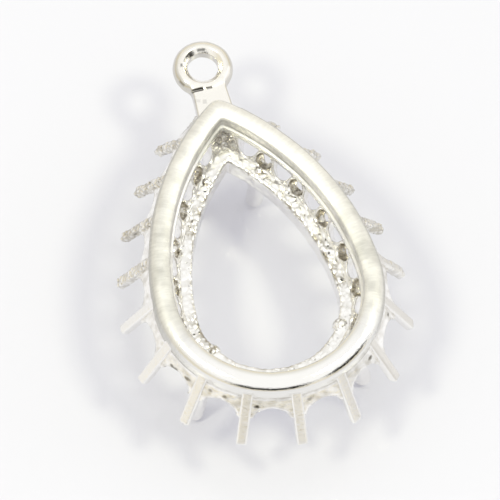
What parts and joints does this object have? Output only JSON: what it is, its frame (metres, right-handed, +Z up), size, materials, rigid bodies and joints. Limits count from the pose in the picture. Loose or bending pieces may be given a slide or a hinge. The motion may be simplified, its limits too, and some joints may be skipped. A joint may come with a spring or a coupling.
{
  "type": "pear-shaped dangle pendant mounting",
  "caption": "Empty pear-shaped silver pendant mounting with a back rail, a pierced halo tier, round and centre stone prongs and a hanging eye.",
  "frame": {"origin": "centre of the mounting's box, at the surface under the tips of the centre prongs", "axes": "+X across the pear, +Y along the pear towards the hanging eye, +Z up from the prong tips towards the back rail"},
  "size_m": [0.0186, 0.028, 0.0089],
  "materials": {
    "silver": "bright cast silver, satin on the rail, polished low on its edge and grainy on the collet's back"
  },
  "bodies": {
    "root": {"pear_mounting": "silver"}
  },
  "joints": []
}
